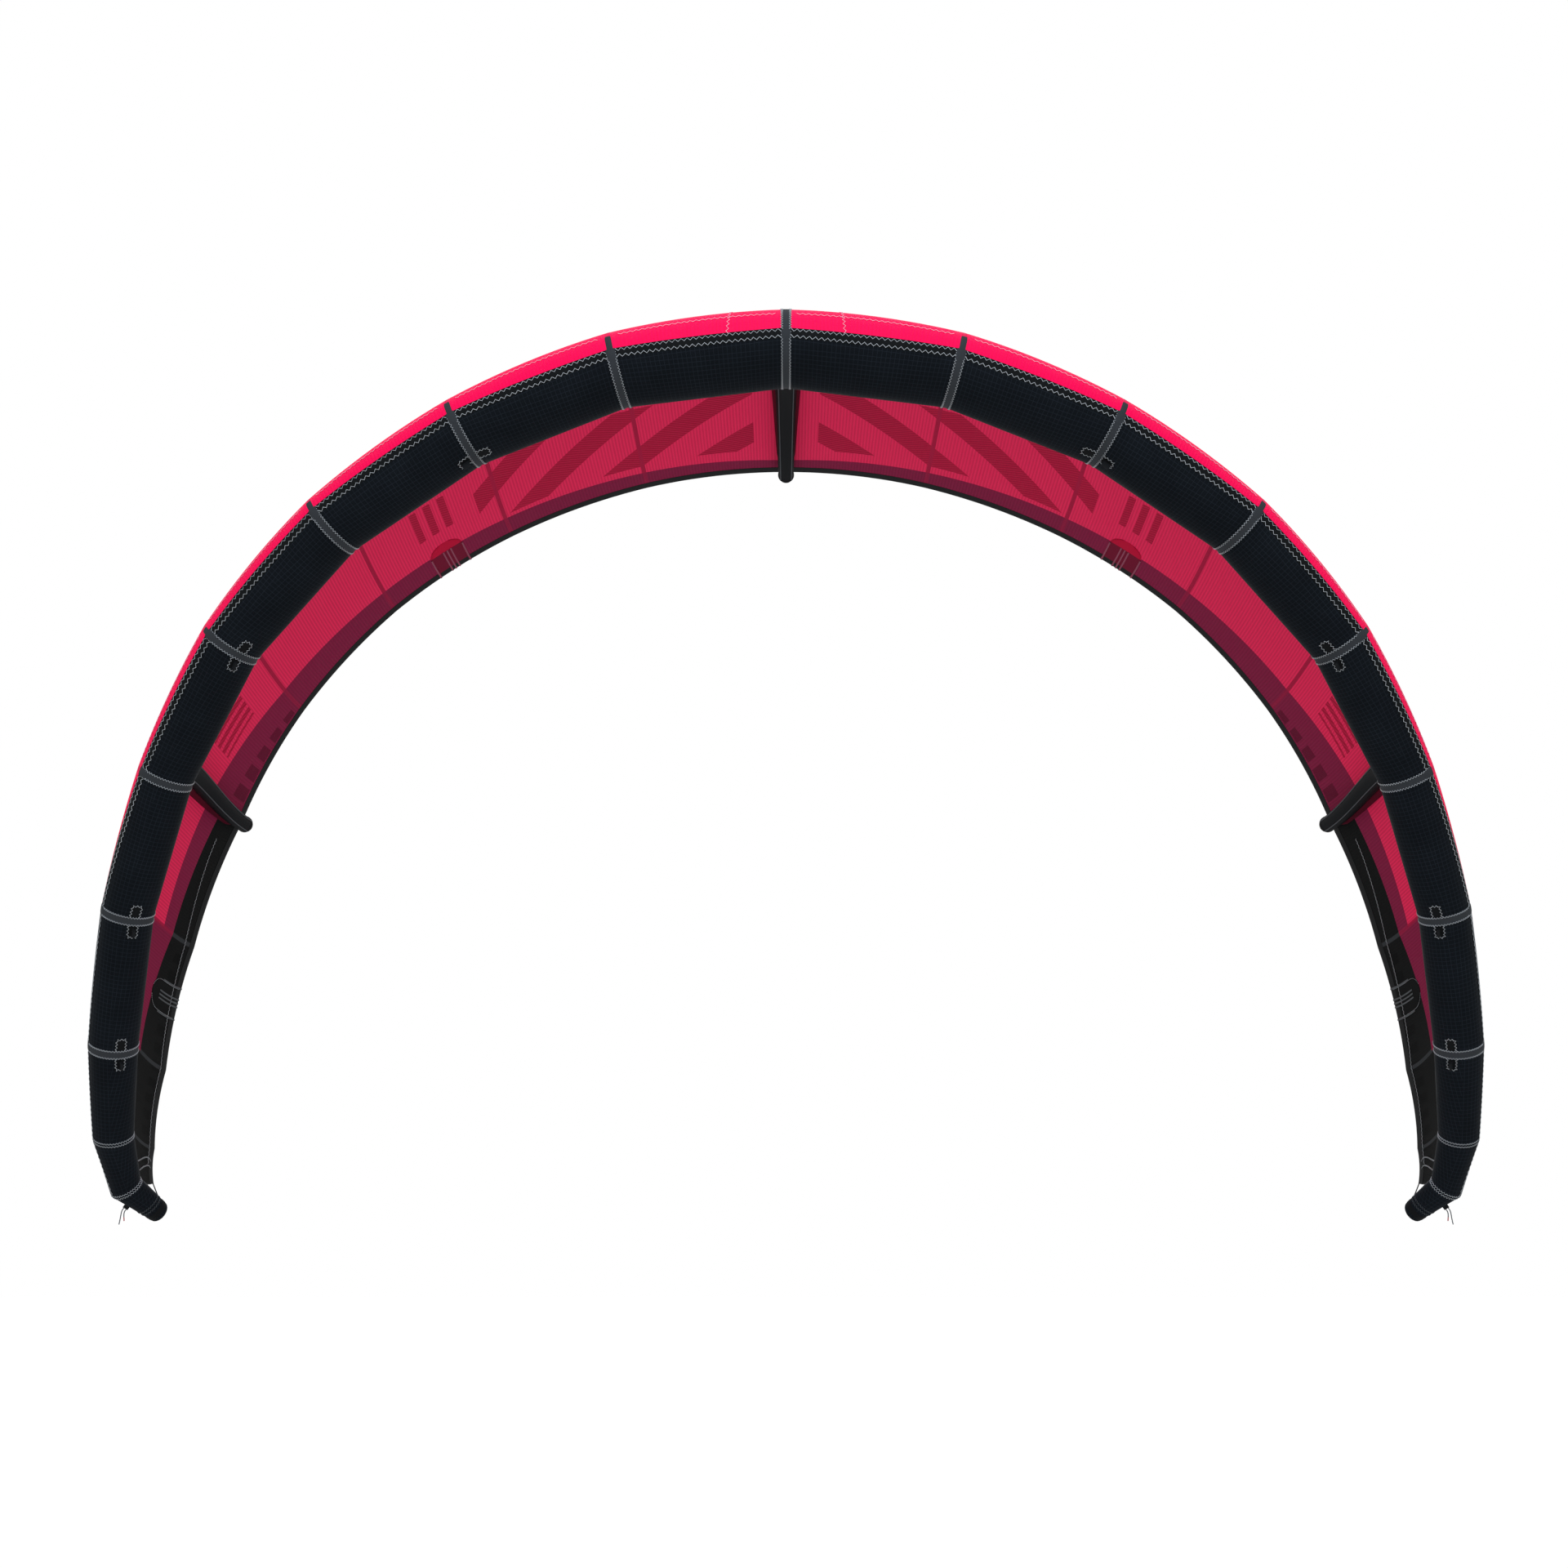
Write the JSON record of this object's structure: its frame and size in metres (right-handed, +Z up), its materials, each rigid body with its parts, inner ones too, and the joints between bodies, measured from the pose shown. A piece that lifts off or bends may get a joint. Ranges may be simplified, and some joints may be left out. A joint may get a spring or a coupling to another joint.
{
  "type": "kitesurfing kite",
  "caption": "Inflatable kitesurfing kite: arched black leading-edge tube, struts, cambered pink canopy, bridle tabs, valve and one-pump hoses.",
  "frame": {"origin": "on the axis of the leading-edge tube at its centre seam", "axes": "+X along the span, +Y along the centre strut towards the trailing edge, +Z up and out of the arch's top"},
  "size_m": [3.9682, 1.6151, 2.503],
  "materials": {
    "casing_cloth": "woven polyester sailcloth, matt black, with grey zigzag stitching and seam tapes",
    "canopy_cloth": "coated ripstop, hot pink above, crimson below with a maroon and black band at the trailing edge",
    "hem_tape": "folded black tape",
    "webbing": "grey braided cord",
    "bladder_film": "milky thermoplastic film",
    "cap_rubber": "matt moulded black",
    "valve_moulding": "satin grey moulding",
    "hose_tube": "smoky flexible tube",
    "clip_moulding": "red moulding"
  },
  "bodies": {
    "kite": {"leading_edge_right_1": "casing_cloth", "leading_edge_right_2": "casing_cloth", "leading_edge_right_3": "casing_cloth", "leading_edge_right_4": "casing_cloth", "leading_edge_right_5": "casing_cloth", "leading_edge_right_6": "casing_cloth", "leading_edge_right_7": "casing_cloth", "leading_edge_right_8": "casing_cloth", "wing_tip_right": "casing_cloth", "canopy_panel_right_1": "canopy_cloth", "canopy_panel_right_2": "canopy_cloth", "canopy_panel_right_3": "canopy_cloth", "canopy_panel_right_4": "canopy_cloth", "canopy_panel_right_5": "canopy_cloth", "canopy_panel_right_6": "canopy_cloth", "canopy_panel_right_7": "canopy_cloth", "trailing_edge_hem_right": "hem_tape", "pigtail_long_right": "webbing", "pigtail_short_right": "webbing", "leading_edge_left_1": "casing_cloth", "leading_edge_left_2": "casing_cloth", "leading_edge_left_3": "casing_cloth", "leading_edge_left_4": "casing_cloth", "leading_edge_left_5": "casing_cloth", "leading_edge_left_6": "casing_cloth", "leading_edge_left_7": "casing_cloth", "leading_edge_left_8": "casing_cloth", "wing_tip_left": "casing_cloth", "canopy_panel_left_1": "canopy_cloth", "canopy_panel_left_2": "canopy_cloth", "canopy_panel_left_3": "canopy_cloth", "canopy_panel_left_4": "canopy_cloth", "canopy_panel_left_5": "canopy_cloth", "canopy_panel_left_6": "canopy_cloth", "canopy_panel_left_7": "canopy_cloth", "trailing_edge_hem_left": "hem_tape", "pigtail_long_left": "webbing", "pigtail_short_left": "webbing", "strut_centre": "casing_cloth", "strut_end_cap_centre": "cap_rubber", "strut_bladder_centre": "bladder_film", "one_pump_hose_centre": "hose_tube", "pinch_clip_base_centre": "clip_moulding", "strut_right": "casing_cloth", "strut_end_cap_right": "cap_rubber", "strut_bladder_right": "bladder_film", "one_pump_hose_right": "hose_tube", "pinch_clip_base_right": "clip_moulding", "strut_left": "casing_cloth", "strut_end_cap_left": "cap_rubber", "strut_bladder_left": "bladder_film", "one_pump_hose_left": "hose_tube", "pinch_clip_base_left": "clip_moulding", "leading_edge_bladder": "bladder_film", "valve_base": "valve_moulding"},
    "valve_insert": {"valve_insert": "valve_moulding"},
    "valve_cap": {"valve_cap": "valve_moulding"},
    "clip_lever_centre": {"pinch_clip_lever_centre": "clip_moulding"},
    "clip_lever_right": {"pinch_clip_lever_right": "clip_moulding"},
    "clip_lever_left": {"pinch_clip_lever_left": "clip_moulding"}
  },
  "joints": [
    {"name": "valve_insert_turn", "type": "hinge", "parent": "kite", "child": "valve_insert", "pos_m": [0.20865, 0.09401, -0.07623], "axis": [-0.0779, 0.8691, -0.4885], "range_deg": [0, 90]},
    {"name": "valve_cap_pull", "type": "slide", "parent": "valve_insert", "child": "valve_cap", "axis": [-0.0779, 0.8691, -0.4885], "range_m": [0, 0.012]},
    {"name": "clip_lever_centre_swing", "type": "hinge", "parent": "kite", "child": "clip_lever_centre", "pos_m": [0.11824, 0.20184, 0.01325], "axis": [0.2392, -0.6147, -0.7516], "range_deg": [0, 85]},
    {"name": "clip_lever_right_swing", "type": "hinge", "parent": "kite", "child": "clip_lever_right", "pos_m": [1.66019, 0.49711, -0.99791], "axis": [-0.537, -0.8413, -0.0621], "range_deg": [0, 85]},
    {"name": "clip_lever_left_swing", "type": "hinge", "parent": "kite", "child": "clip_lever_left", "pos_m": [-1.64499, 0.50434, -0.9645], "axis": [0.537, -0.8413, -0.0621], "range_deg": [0, 85]}
  ]
}
